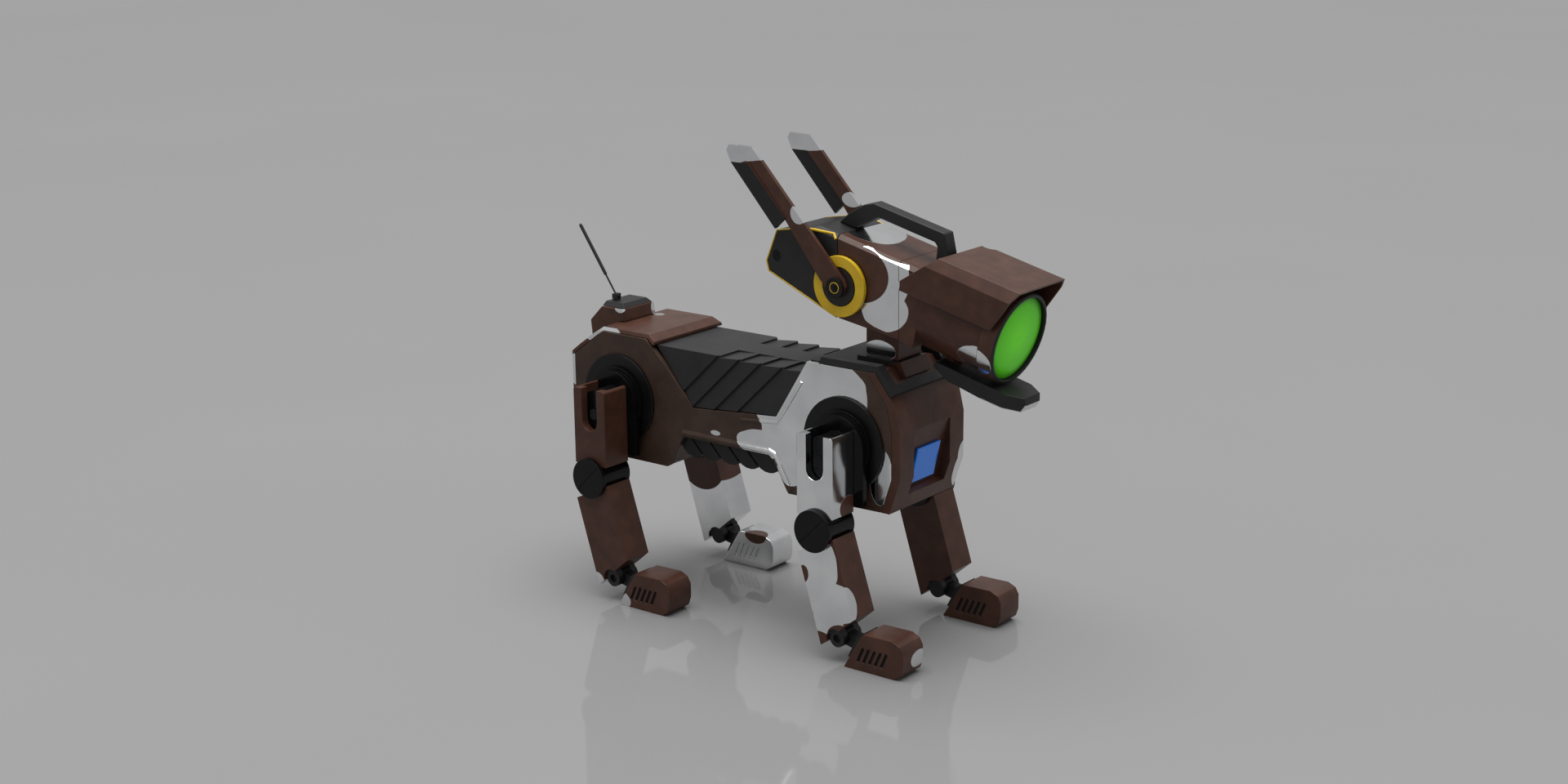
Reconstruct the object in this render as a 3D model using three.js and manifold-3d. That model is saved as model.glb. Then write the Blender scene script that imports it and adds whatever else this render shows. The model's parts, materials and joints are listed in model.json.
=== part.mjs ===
// Quadruped robot dog, 0.6 m long, standing on four flat feet.
// Millimetres. +X is the way the nose points, +Y is the dog's left, +Z is up, and the floor is z = 0.
// Side profiles are lists of [x, z] corners. The body of a leg is drawn from its own hip axis, and
// the head is drawn in its own frame: x along the snout, z across it, from the ear axis.

import * as THREE from 'three';
import { mergeVertices } from 'three/addons/utils/BufferGeometryUtils.js';
import Module from 'manifold-3d';

const wasm = await Module();
wasm.setup();

// ---------------------------------------------------------------- driving dimensions

const LENGTH_CENTRE = 11.33;           // x of the middle of the whole dog, counted from mid-stance
const GAP = 0.3;                     // air between two parts that meet
const BODY_HALF = 57;                // outer face of the side plates from the centre plane
const PLATE = 6;                     // thickness of a side plate
const INNER_HALF = BODY_HALF - PLATE - GAP;
const BELLY_Z = 148;                 // underside of the two body lobes
const WAIST_Z = 185;                 // underside of the waist between the lobes
const BACK_Z = 279;                  // flat top of the back armour
const DECK_Z = 292;                  // top of the shoulder lobe

const HIP_SPACING = 300;             // front hip axis to rear hip axis
const HIP_FRONT_X = 112.5;
const HIP_Z = 214;
const KNEE_Z = 136;
const LEG_IN = 71;                   // inner and outer faces of a leg from the centre plane
const LEG_OUT = 107;
const LEG_MID = (LEG_IN + LEG_OUT) / 2;
const ANKLE = [25, 26];
const KNEE_R = 19.5;

const HEAD_PITCH = THREE.MathUtils.degToRad(14);
const EAR_AXIS = [98, 371];
const NECK_AXIS_X = 133;
const NOD_AXIS = [NECK_AXIS_X, 345];
const NOD_UP = -20;                  // degrees, nose up and nose down from rest
const NOD_DOWN = 7;
const HEAD_HALF = 40;
const BARREL_AXIS_Z = 8.3;           // height of the snout's axis in the head's frame
const BARREL_R = 44;

const ROUND = 32;                    // sides of a large round part
const SMALL_ROUND = 20;

// ---------------------------------------------------------------- materials

function finish(color, roughness, metalness = 0) {
  return new THREE.MeshStandardMaterial({ color, roughness, metalness });
}
const BROWN = finish(0x4a332b, 0.42);
const WHITE = finish(0xc9c9c9, 0.18, 0.4);
const BLACK = finish(0x232425, 0.45);
const GLOSS_BLACK = finish(0x141415, 0.15);
const YELLOW = finish(0xd0a626, 0.4);
const GREEN = finish(0x4cc02c, 0.15);
const BLUE = finish(0x2f6fc4, 0.2);
const STEEL = finish(0x8d9094, 0.35, 0.8);
const BOARD_GREEN = finish(0x1f5a35, 0.6);
const BATTERY_GREY = finish(0x55585c, 0.6);

// ---------------------------------------------------------------- solids

function solid(geometry) {
  const bare = geometry.clone();
  bare.deleteAttribute('normal');
  bare.deleteAttribute('uv');
  const merged = mergeVertices(bare, 1e-4);
  const mesh = new wasm.Mesh({
    numProp: 3,
    vertProperties: new Float32Array(merged.attributes.position.array),
    triVerts: new Uint32Array(merged.index.array),
  });
  return new wasm.Manifold(mesh);
}

function meshGeometry(shape) {
  const { vertProperties, triVerts } = shape.getMesh();
  const geometry = new THREE.BufferGeometry();
  geometry.setAttribute('position', new THREE.BufferAttribute(new Float32Array(vertProperties), 3));
  geometry.setIndex(new THREE.BufferAttribute(new Uint32Array(triVerts), 1));
  geometry.computeVertexNormals();
  return geometry;
}

const join = (first, ...rest) => rest.reduce((sum, part) => sum.add(part), first);
const cut = (first, ...rest) => rest.reduce((left, part) => left.subtract(part), first);

function extruded(points, depth) {
  const shape = new THREE.Shape(points.map(([a, b]) => new THREE.Vector2(a, b)));
  return new THREE.ExtrudeGeometry(shape, { depth, bevelEnabled: false, curveSegments: 8 });
}

// a side profile [x, z] carried from y0 to y1
function acrossY(points, y0, y1) {
  const geometry = extruded(points, y1 - y0);
  geometry.rotateX(Math.PI / 2);
  geometry.translate(0, y1, 0);
  return solid(geometry);
}

// a front profile [y, z] carried from x0 to x1
function alongX(points, x0, x1) {
  const geometry = extruded(points, x1 - x0);
  geometry.applyMatrix4(new THREE.Matrix4().set(0, 0, 1, x0, 1, 0, 0, 0, 0, 1, 0, 0, 0, 0, 0, 1));
  return solid(geometry);
}

// a plan profile [x, y] carried from z0 to z1
function upZ(points, z0, z1) {
  const geometry = extruded(points, z1 - z0);
  geometry.translate(0, 0, z0);
  return solid(geometry);
}

function box(x0, x1, y0, y1, z0, z1) {
  const geometry = new THREE.BoxGeometry(x1 - x0, y1 - y0, z1 - z0);
  geometry.translate((x0 + x1) / 2, (y0 + y1) / 2, (z0 + z1) / 2);
  return solid(geometry);
}

// a round bar across the dog, between two distances from the centre plane on one side
function axle([x, z], radius, side, inner, outer, sides = ROUND) {
  const geometry = new THREE.CylinderGeometry(radius, radius, outer - inner, sides);
  geometry.translate(x, (side * (inner + outer)) / 2, z);
  return solid(geometry);
}

function post([x, y], radius, z0, z1, sides = ROUND) {
  const geometry = new THREE.CylinderGeometry(radius, radius, z1 - z0, sides);
  geometry.rotateX(Math.PI / 2);
  geometry.translate(x, y, (z0 + z1) / 2);
  return solid(geometry);
}

// a turned part about the snout's axis, from its [radius, x] profile
function turnedSnout(profile) {
  const geometry = new THREE.LatheGeometry(profile.map(([r, x]) => new THREE.Vector2(r, x)), ROUND);
  geometry.rotateZ(-Math.PI / 2);
  geometry.translate(0, 0, BARREL_AXIS_Z);
  return solid(geometry);
}

// the same side profile on one side of the dog, between two distances from the centre plane
function onSide(points, side, inner, outer) {
  return side < 0 ? acrossY(points, -outer, -inner) : acrossY(points, inner, outer);
}

// a strip of even width that follows a line of [x, z] points
function strip(points, width) {
  const normals = points.map((point, i) => {
    const before = points[Math.max(i - 1, 0)];
    const after = points[Math.min(i + 1, points.length - 1)];
    const length = Math.hypot(after[0] - before[0], after[1] - before[1]);
    return [-(after[1] - before[1]) / length, (after[0] - before[0]) / length];
  });
  const offset = (h) => points.map(([x, z], i) => [x + normals[i][0] * h, z + normals[i][1] * h]);
  return [...offset(-width / 2), ...offset(width / 2).reverse()];
}

function arc([x, z], radius, from, to, steps) {
  return Array.from({ length: steps + 1 }, (_, i) => {
    const angle = THREE.MathUtils.degToRad(from + ((to - from) * i) / steps);
    return [x + radius * Math.cos(angle), z + radius * Math.sin(angle)];
  });
}

const shift = (points, dx, dz = 0) => points.map(([x, z]) => [x + dx, z + dz]);

function place(group, name, shape, material) {
  const mesh = new THREE.Mesh(meshGeometry(shape), material);
  mesh.name = name;
  group.add(mesh);
  return mesh;
}

// ---------------------------------------------------------------- body profiles

// front of the chest from its lower chamfer to the deck
const CHEST_FRONT = [[168, 150], [180.5, 186], [180.5, 235], [174, 262], [150, DECK_Z]];
const CHEST_WALL = 10;
const REAR_OUTER = [[-246, 150], [-256, 184], [-256, 257], [-245, 265.5], [-212, 289], [-147, 289]];
const REAR_INNER = [[-242.2, 150], [-252, 184.5], [-252, 255], [-243.1, 262], [-210.8, 285], [-147.6, 285]];
// floors close each lobe from below and turn up beside the bellows
const REAR_FLOOR = [
  [-243.5, 150.4], [-242, 148.5], [-123, 148.5], [-116.6, 152.4], [-106, 173.5],
  [-109.2, 175.2], [-119.2, 155.4], [-124.2, 152.2], [-243.5, 152.2],
];
const FRONT_FLOOR = [[158, 150.2], [158, 153.8], [44.6, 153.8], [27.4, 180.6], [24, 178.6], [41.8, 150.2]];
const WAIST_TOP = [[-84, 219], [26, 228]];
const ARCH = [
  [-122.5, BELLY_Z], [-116, 152], [-101.5, 181], [-97, WAIST_Z],
  [16, WAIST_Z], [22, 181], [41, BELLY_Z],
];
const VALLEY = [[66, DECK_Z], ...WAIST_TOP.slice().reverse(), [-124.5, 262], [-149, 284.6]];

function hipAxes() {
  return [
    { end: 'front', x: HIP_FRONT_X },
    { end: 'rear', x: HIP_FRONT_X - HIP_SPACING },
  ];
}
const SIDES = [
  { name: 'right', side: -1 },
  { name: 'left', side: 1 },
];
const MOTOR_R = 38;
const MOTOR_FLANGE_R = 49;
const MOTOR_FLANGE = 3;

// ---------------------------------------------------------------- body

function sidePlate(side) {
  const front = shift(CHEST_FRONT, -(CHEST_WALL + GAP));
  const rear = REAR_INNER.slice(0, 5).map(([x, z]) => [x + GAP, z - GAP]);
  const outline = [...ARCH, ...front, ...VALLEY, ...rear.reverse(), [-241.9, BELLY_Z]];
  const plate = onSide(outline, side, BODY_HALF - PLATE, BODY_HALF);
  const holes = hipAxes().map(({ x }) => axle([x, HIP_Z], MOTOR_R + 0.5, side, 40, 70));
  const archBead = strip([[-99, 189.5], [17.5, 189.5], [25.9, 183.2], [44, 151.8]], 7);
  const valleyBead = strip([[60, 270], [38, 236], [28, 222], [-20, 217]], 3);
  const beads = [archBead, valleyBead].map((line) => onSide(line, side, BODY_HALF - 1, BODY_HALF + 1.5));
  return join(cut(plate, ...holes), ...beads);
}

function rearCover() {
  const lip = [[-137, 283], [-137, BACK_Z + 0.5], [-141, BACK_Z + 0.5], [-141, 281]];
  const outline = [...REAR_OUTER, ...lip, ...REAR_INNER.slice().reverse()];
  const shell = acrossY(outline, -BODY_HALF, BODY_HALF);
  const bevelled = [
    [-BODY_HALF, 140], [BODY_HALF, 140], [BODY_HALF, 281],
    [52.5, 289.5], [-52.5, 289.5], [-BODY_HALF, 281],
  ];
  const vents = Array.from({ length: 5 }, (_, i) => box(-258, -254, -26, 26, 200 + 9 * i, 204 + 9 * i));
  const hood = cut(shell.intersect(alongX(bevelled, -260, -130)), ...vents);
  return join(hood, acrossY(REAR_FLOOR, -INNER_HALF, INNER_HALF));
}

function tailBlock() {
  const outline = [
    [-206.5, 289.3], [-211.9, 289.3], [-244.8, 266.1], [-254.4, 258.8],
    [-254.4, 272], [-256, 286], [-239, 303], [-208, 303],
  ];
  return acrossY(outline, -26, 26);
}

function tailCap() {
  const low = 303 + GAP;
  const cap = acrossY([[-240, low], [-209, low], [-213, 308], [-238, 308]], -23, 23);
  const taper = alongX([[-23, low], [23, low], [19, 308], [-19, 308]], -240, -205);
  return cap.intersect(taper);
}

const ANTENNA_Y = -10;
const ANTENNA_FOOT = [-231, 308];
const ANTENNA_LEAN = THREE.MathUtils.degToRad(-34.5);
const ANTENNA_HINGE_Z = 313;

function antennaMount() {
  const [x, z] = ANTENNA_FOOT;
  const nut = post([x, ANTENNA_Y], 4.6, z - 1, z + 3, 6);
  const cheeks = box(x - 3, x + 3, ANTENNA_Y - 4, ANTENNA_Y + 4, z + 2, ANTENNA_HINGE_Z + 2.5);
  return cut(join(nut, cheeks), box(x - 5, x + 5, ANTENNA_Y - 1.9, ANTENNA_Y + 1.9, z + 1.2, z + 12));
}

// the whip stands on its hinge eye and leans back
function antennaWhip() {
  const profile = [[0, 3], [1.1, 3], [1.1, 26], [1.9, 27], [1.9, 88], [1.2, 90], [0, 90]];
  const rod = new THREE.LatheGeometry(profile.map(([r, x]) => new THREE.Vector2(r, x)), 12);
  rod.rotateX(Math.PI / 2);
  const eye = new THREE.CylinderGeometry(3.2, 3.2, 3, 16);
  return join(solid(rod), solid(eye));
}

// edges of one back scale: across the top from the spine, then down the side and back
const SCALE_PITCH = 28;
const FIRST_SCALE_X = -53;
const SCALE_COUNT = 4;
const SCALE_STEP = 2.4;              // height of the step at a scale's front edge
const SPINE_HALF = 18;

function armourSection(inset) {
  const top = BACK_Z - inset;
  return [[-58 + inset, 215], [58 - inset, 215], [50.5 - inset, top], [-50.5 + inset, top]];
}

// what is cut away in front of one scale's edge, so that the next scale rises from under it
function scaleWedge(x, side) {
  const clear = 1.2;
  const ramp = [
    [x, BACK_Z - SCALE_STEP], [x + SCALE_PITCH, BACK_Z],
    [x + SCALE_PITCH, BACK_Z + clear], [x, BACK_Z + clear],
  ];
  const top = acrossY(ramp, ...[side * SPINE_HALF, side * 53].sort((a, b) => a - b));
  const flankY = (z) => 58 - (z - 215) * (7.5 / 64);
  const corners = [[0, BACK_Z + 2], [-66, BACK_Z - 64]].flatMap(([dx, z]) => [
    [x + dx, side * (flankY(z) - SCALE_STEP), z],
    [x + dx, side * (flankY(z) + clear), z],
    [x + SCALE_PITCH + dx, side * flankY(z), z],
    [x + SCALE_PITCH + dx, side * (flankY(z) + clear), z],
  ]);
  return join(top, wasm.Manifold.hull(corners));
}

function backArmour() {
  const valley = [
    [-84.2, WAIST_TOP[0][1] + 0.8], [26, WAIST_TOP[1][1] + 0.8],
    [57.2, BACK_Z], [-139.8, BACK_Z], [-124, 262.6],
  ];
  const inside = cut(alongX(armourSection(4), -160, 80), box(-160, 80, -60, 60, BACK_Z - 4, 300));
  const shell = cut(alongX(armourSection(0), -150, 70), inside).intersect(acrossY(valley, -60, 60));
  const edges = Array.from({ length: SCALE_COUNT }, (_, i) => FIRST_SCALE_X + SCALE_PITCH * i);
  const wedges = edges.flatMap((x) => SIDES.map(({ side }) => scaleWedge(x, side)));
  return cut(shell, ...wedges);
}

function bellyBellows() {
  const pitch = 25;
  const starts = Array.from({ length: 5 }, (_, i) => -104 + pitch * i);
  const lobes = starts.flatMap((x) => [
    [x, 169], [x + 4, 165.6], [x + 10, 163.4], [x + 16, 163], [x + 21, 164], [x + 24, 167],
  ]);
  const rearEnd = [[-104, 189.7], [-106, 186], [-106, 173]];
  const bar = acrossY([...rearEnd, ...lobes, [22, 172], [22, 189.7]], -50, 50);
  const seams = starts.slice(1).flatMap((x) => {
    const line = strip([[x - 15, 184], [x + 0.5, 168]], 2.2);
    return SIDES.map(({ side }) => onSide(line, side, 48, 52));
  });
  return cut(bar, ...seams);
}

function chestShell() {
  const skin = [...CHEST_FRONT, ...shift(CHEST_FRONT, -CHEST_WALL).reverse()];
  const backing = [
    [158, 150.2], [170.8, 186.3], [170.8, 235], [164.3, 262], [145.4, 285.7],
    [136, 285.7], [154, 262], [157, 235], [157, 175], [150, 150.2],
  ];
  const shell = join(
    acrossY(skin, -BODY_HALF, BODY_HALF),
    acrossY(backing, -INNER_HALF, INNER_HALF),
    acrossY(FRONT_FLOOR, -INNER_HALF, INNER_HALF),
  );
  const pocket = acrossY([[190, 232.5], [179.6, 232.5], [165, 170], [173.4, 166], [190, 160]], -32, 32);
  return cut(shell, pocket, post([NECK_AXIS_X, 0], 16.6, 250, 300));
}

// the screen lies on the sloping back of the chest pocket
const SCREEN_FOOT = [166.6, 174];
const SCREEN_LEAN = Math.atan2(179.6 - 165, 232.5 - 170);

function chestScreen() {
  return box(GAP, 2.3, -20, 20, 0, 38);
}

function collar() {
  const deck = box(67, 139.5, -INNER_HALF, INNER_HALF, DECK_Z - 6, DECK_Z + 1);
  const rail = [[80, 292.3], [84, 299.3], [152.8, 299.3], [173.1, 274], [168.1, 270], [150.3, 292.3]];
  const rails = SIDES.map(({ side }) => onSide(rail, side, 45, 56));
  const crossBar = acrossY([[162.4, 277.1], [168.1, 270], [173.1, 274], [167.4, 281.1]], -56, 56);
  const padOutline = [
    [104, 292.5], [150.6, 292.8], [160.2, 280.8], [163.2, 283], [156.5, 297.5], [104, 297.5],
  ];
  const pad = acrossY(padOutline, -22.5, 22.5);
  return cut(join(deck, ...rails, crossBar, pad), post([NECK_AXIS_X, 0], 12.5, 280, 300));
}

function chassis() {
  const beam = box(-235, 155, -20, 20, 190, 240);
  const channel = box(-230, 152, -17, 17, 193, 245);
  const bulkheads = [-125, -30, 52].map((x) => box(x, x + 6, -INNER_HALF, INNER_HALF, 190, 216));
  return join(cut(beam, channel), ...bulkheads.map((wall) => cut(wall, channel)));
}

function battery() {
  const pack = box(-112, 60, -16.5, 16.5, 193.3, 234);
  return join(pack, box(60, 64, -8, 8, 205, 222));
}

function controlBoard() {
  const board = box(-104, 46, -34, 34, 240.4, 242.4);
  const chips = [[-80, 0], [-40, 12], [-30, -14], [12, 4]];
  return join(board, ...chips.map(([x, y]) => box(x - 9, x + 9, y - 9, y + 9, 242, 246)));
}

function hipMotor(x, side) {
  const can = axle([x, HIP_Z], MOTOR_R, side, 20 + GAP, BODY_HALF + 1);
  const flange = axle([x, HIP_Z], MOTOR_FLANGE_R, side, BODY_HALF + GAP, BODY_HALF + MOTOR_FLANGE, 40);
  return join(can, flange);
}

// ---------------------------------------------------------------- leg, from its hip axis at x = 0

const THIGH_HALF = 22;
const THIGH_TOP = 234;
const THIGH_BOTTOM = 150;
const THIGH_WALL = 4.5;
const SLOT_HALF = 10.5;
const SHANK = [[-21.5, 110], [7.2, 16.6], [47.5, 51.4], [22.5, 130.5]];
const ROTOR_FACE = BODY_HALF + MOTOR_FLANGE + GAP;

function hipYoke(side) {
  const rotor = axle([0, HIP_Z], 36, side, ROTOR_FACE, ROTOR_FACE + 4);
  const cheek = [[-33, 156.8], [33, 156.8], ...arc([0, HIP_Z], 33, 0, 180, 14)];
  const tongue = [[-16.8, 161], [16.8, 161], ...arc([0, 214], 16.8, 0, 180, 10)];
  const bolt = axle([0, 205], 6, side, 90, 100, SMALL_ROUND);
  return join(rotor, onSide(cheek, side, 64, LEG_IN - GAP), onSide(tongue, side, 69, 96), bolt);
}

function thigh(side) {
  const outline = [
    [-THIGH_HALF, THIGH_BOTTOM], [THIGH_HALF, THIGH_BOTTOM], [THIGH_HALF, 232],
    [20, THIGH_TOP], [-20, THIGH_TOP], [-THIGH_HALF, 232],
  ];
  const bar = onSide(outline, side, LEG_IN, LEG_OUT);
  const inside = THIGH_HALF - THIGH_WALL;
  const hollow = [[-inside, 160], [inside, 160], [inside, 240], [-inside, 240]];
  const cavity = onSide(hollow, side, LEG_IN - 2, 97);
  const slot = [[-SLOT_HALF, 240], ...arc([0, 198.5], SLOT_HALF, 180, 360, 12), [SLOT_HALF, 240]];
  const saddle = axle([0, KNEE_Z], KNEE_R + GAP, side, 60, 120);
  return cut(bar, cavity, onSide(slot, side, 90, 120), saddle);
}

function kneeBarrel(side) {
  const barrel = axle([0, KNEE_Z], KNEE_R, side, LEG_IN, LEG_OUT + 2);
  const outer = axle([0, KNEE_Z], 22, side, LEG_OUT + GAP, LEG_OUT + 5, 36);
  const inner = axle([0, KNEE_Z], 20, side, LEG_IN - 4.5, LEG_IN);
  const diagonal = strip([[-14, KNEE_Z - 14], [14, KNEE_Z + 14]], 2);
  return cut(join(barrel, outer, inner), onSide(diagonal, side, LEG_OUT + 4, LEG_OUT + 8));
}

function shank(side) {
  const bar = onSide(SHANK, side, LEG_IN, LEG_OUT);
  const saddle = axle([0, KNEE_Z], KNEE_R + GAP, side, 60, 120);
  const notch = axle(ANKLE, 11, side, 60, 120);
  const stem = onSide(forkStem(7 + GAP, 28 + GAP), side, LEG_MID - 15 - GAP, LEG_MID + 15 + GAP);
  return cut(bar, saddle, notch, stem);
}

// the fork's stem runs up inside the shank, along its lean
function forkStem(half, length) {
  const up = [-0.303, 0.953];
  const across = [0.953, 0.303];
  const corner = (a, b) => [ANKLE[0] + across[0] * a + up[0] * b, ANKLE[1] + across[1] * a + up[1] * b];
  return [corner(-half, 0), corner(half, 0), corner(half, length), corner(-half, length)];
}

function ankleFork(side) {
  const stem = onSide(forkStem(7, 28), side, LEG_MID - 15, LEG_MID + 15);
  const eyes = axle(ANKLE, 9, side, LEG_MID - 15, LEG_MID + 15, SMALL_ROUND);
  const mouth = axle(ANKLE, 11, side, LEG_MID - 6.5, LEG_MID + 6.5, SMALL_ROUND);
  const recess = axle(ANKLE, 4.4, side, LEG_MID + 11, LEG_MID + 20, SMALL_ROUND);
  return cut(join(stem, eyes), mouth, recess);
}

const FOOT = [
  [35.3, 0], [97, 0], [104, 4.5], [107, 13],
  [107, 29], [103, 36], [94, 40], [60, 39.5], [58, 38],
];

function ankleLink(side) {
  const eye = axle(ANKLE, 9, side, LEG_MID - 6, LEG_MID + 6, SMALL_ROUND);
  const arm = onSide([[25, 19], [43, 15], [50.6, 28.5], [25, 33]], side, LEG_MID - 6, LEG_MID + 6);
  const plate = [[37.4, 9.9], [40.9, 9.9], [54.5, 32.7], [54.5, 37], [49.5, 33.5]];
  return join(eye, arm, onSide(plate, side, LEG_MID - 14, LEG_MID + 14));
}

function foot(side) {
  const block = onSide(FOOT, side, LEG_IN, LEG_OUT);
  const vents = Array.from({ length: 5 }, (_, i) => {
    const x = 52.5 + 7.1 * i;
    return strip([[x, 9], [x + 7, 24.5]], 3);
  });
  const outer = vents.map((line) => onSide(line, side, LEG_OUT - 2.5, LEG_OUT + 2));
  const inner = vents.map((line) => onSide(line, side, LEG_IN - 2, LEG_IN + 2.5));
  return cut(block, ...outer, ...inner);
}

// ---------------------------------------------------------------- neck and head

function neckPost() {
  const [x, z] = NOD_AXIS;
  const column = [[x - KNEE_R, 297.8], [x + KNEE_R, 297.8], ...arc(NOD_AXIS, KNEE_R, 0, 180, 14)];
  return join(acrossY(column, -20, 20), post([x, 0], 12, 262, 300), post([x, 0], 16, 254, 284.6));
}

const HEAD_TOP = 48;
const MID_REAR = [[-17.5, HEAD_TOP], [4.2, -33.5]];
const MID_FRONT = [[77.4, -27.6], [58.3, HEAD_TOP]];
const bevelledHead = (half, top) => [
  [-half, -60], [half, -60], [half, top - 4], [half - 5, top], [-half + 5, top], [-half, top - 4],
];

// the nod axis in the head's frame
function nodInHead() {
  const dx = NOD_AXIS[0] - EAR_AXIS[0];
  const dz = NOD_AXIS[1] - EAR_AXIS[1];
  const c = Math.cos(HEAD_PITCH);
  const s = Math.sin(HEAD_PITCH);
  return [dx * c - dz * s, dx * s + dz * c];
}

// the space that the neck sweeps below the nod axis, seen from the head, over the whole nod
function neckSweep([x, z], half, depth) {
  const downAt = (nod) => THREE.MathUtils.degToRad(nod - 90) + HEAD_PITCH;
  const edge = (angle, sideways) => {
    const start = [x - sideways * Math.sin(angle), z + sideways * Math.cos(angle)];
    return [start, [start[0] + depth * Math.cos(angle), start[1] + depth * Math.sin(angle)]];
  };
  const [backTop, backLow] = edge(downAt(NOD_UP), -half);
  const [frontTop, frontLow] = edge(downAt(NOD_DOWN), half);
  return [backTop, backLow, frontLow, frontTop];
}

function headShell() {
  const block = acrossY([MID_REAR[1], MID_FRONT[0], MID_FRONT[1], MID_REAR[0]], -HEAD_HALF, HEAD_HALF);
  const [x, z] = nodInHead();
  const socket = axle([x, z], KNEE_R + 0.5, 1, -20.4, 20.4);
  const flare = neckSweep([x, z], 20, 40);
  const cavity = acrossY([[0, 8], [90, 8], [90, 43], [-8, 43]], -35, 35);
  const rounded = block.intersect(alongX(bevelledHead(HEAD_HALF, HEAD_TOP), -30, 90));
  return cut(rounded, socket, acrossY(flare, -20.4, 20.4), cavity);
}

function headRear() {
  const outline = [
    [3.8, -33.4], [-17.9, HEAD_TOP], [-42, HEAD_TOP], [-56, 41.5],
    [-90, 27], [-95, -8], [-90, -18], [-24, -29],
  ];
  const block = acrossY(outline, -41, 41);
  return block.intersect(alongX(bevelledHead(41, HEAD_TOP), -110, 10));
}

function earRing(side) {
  return cut(axle([0, 0], 31, side, 41 + GAP, 46, 40), axle([0, 0], 20, side, 30, 60));
}

// the ear leans back from its hub; a flange folds off its rear edge
const EAR_LEAN = THREE.MathUtils.degToRad(42.8) + HEAD_PITCH;

function ear(side) {
  const hub = axle([0, 0], 19.4, side, 41 + GAP, 46.6);
  const along = (s, t) => {
    const c = Math.cos(EAR_LEAN);
    const n = Math.sin(EAR_LEAN);
    return [-s * n + t * c, s * c + t * n];
  };
  const arm = [
    along(-5, -10), along(20, -10), along(88, -4), along(180, -1.5),
    along(167, 12.4), along(0, 12.4), along(-7, 9), along(-10, -4),
  ];
  const flange = [
    along(88, -19.5), along(88, -2), along(179.6, -1),
    along(186, -8), along(184, -14), along(172, -18),
  ];
  const boss = axle([0, 0], 10, side, 46.5, 53, SMALL_ROUND);
  return join(hub, onSide(arm, side, 46.5, 51), onSide(flange, side, 48.6, 52.6), boss);
}

function carryHandle() {
  const low = HEAD_TOP + GAP;
  const outline = [
    [-40, low], [-20, low], [-11, 54.5], [4.5, 68.5], [74, 68.5], [78, 65], [80, low],
    [92.5, low], [92.5, 62], [83, 81], [-5, 81], [-16, 75], [-30, 62],
  ];
  return acrossY(outline, -8, 8);
}

function visor() {
  const outer = [[-48.5, 24], [-48.5, 57.5], [-40.5, 68], [40.5, 68], [48.5, 57.5], [48.5, 24]];
  const inner = [[-46.2, 20], [-46.2, 56.7], [-39.3, 65.7], [39.3, 65.7], [46.2, 56.7], [46.2, 20]];
  const hood = cut(alongX(outer, 55, 205), alongX(inner, 50, 210));
  const side = [[60, 24], [178.5, 24], [192, 57], [197.5, 69], [103, 69], [92, 57]];
  return hood.intersect(acrossY(side, -60, 60));
}

const BORE_R = 40;
const BORE_FLOOR = 112;

function snoutBarrel() {
  const base = [MID_FRONT[0], MID_FRONT[1]].map(([x, z]) => [x + 0.4, z]);
  const block = acrossY([base[0], [95, -30], [93, HEAD_TOP], base[1]], -HEAD_HALF, HEAD_HALF);
  const faired = block.intersect(alongX(bevelledHead(HEAD_HALF, HEAD_TOP), 50, 100));
  const barrel = turnedSnout([
    [0, 93.5], [BARREL_R, 93.5], [BARREL_R, 168], [42.4, 168],
    [42.4, 180], [BORE_R, 180], [BORE_R, BORE_FLOOR], [0, BORE_FLOOR],
  ]);
  const rib = box(110, 160, -11, 11, 48, 65.3);
  const hingeLug = acrossY([[110, -30], [126, -30], [124, -46], [118, -49], [112, -46]], -8, 8);
  const bore = turnedSnout([[0, BORE_FLOOR], [BORE_R, BORE_FLOOR], [BORE_R, 190], [0, 190]]);
  return join(faired, barrel, cut(join(rib, hingeLug), bore));
}

function cameraModule() {
  const back = BORE_FLOOR + 0.4;
  return turnedSnout([
    [0, back], [30, back], [30, 120], [22, 122], [22, 150],
    [26, 152], [26, 166], [18, 170], [0, 170],
  ]);
}

function lensBezel() {
  return turnedSnout([[47, 168.4], [47, 185], [45.5, 186.5], [43, 186.5], [43, 168.4], [47, 168.4]]);
}

function lens() {
  const radius = 42.6;
  const crown = Array.from({ length: 6 }, (_, i) => {
    const angle = (i * Math.PI) / 12;
    return [radius * Math.cos(angle), 182 + 3 * Math.sin(angle)];
  });
  return turnedSnout([[0, 180.4], [radius, 180.4], ...crown, [0, 185]]);
}

function jaw() {
  const outline = [
    [114, -39.5], [112.5, -45], [133, -53.5], [170, -55.5], [214, -55], [217, -47], [214, -40],
  ];
  const bar = acrossY(outline, -24, 24);
  const plan = [[100, -24], [198, -24], [218, -12], [218, 12], [198, 24], [100, 24]];
  return cut(bar.intersect(upZ(plan, -70, -30)), box(100, 131, -8.5, 8.5, -60, -30));
}

// ---------------------------------------------------------------- assembly

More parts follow.
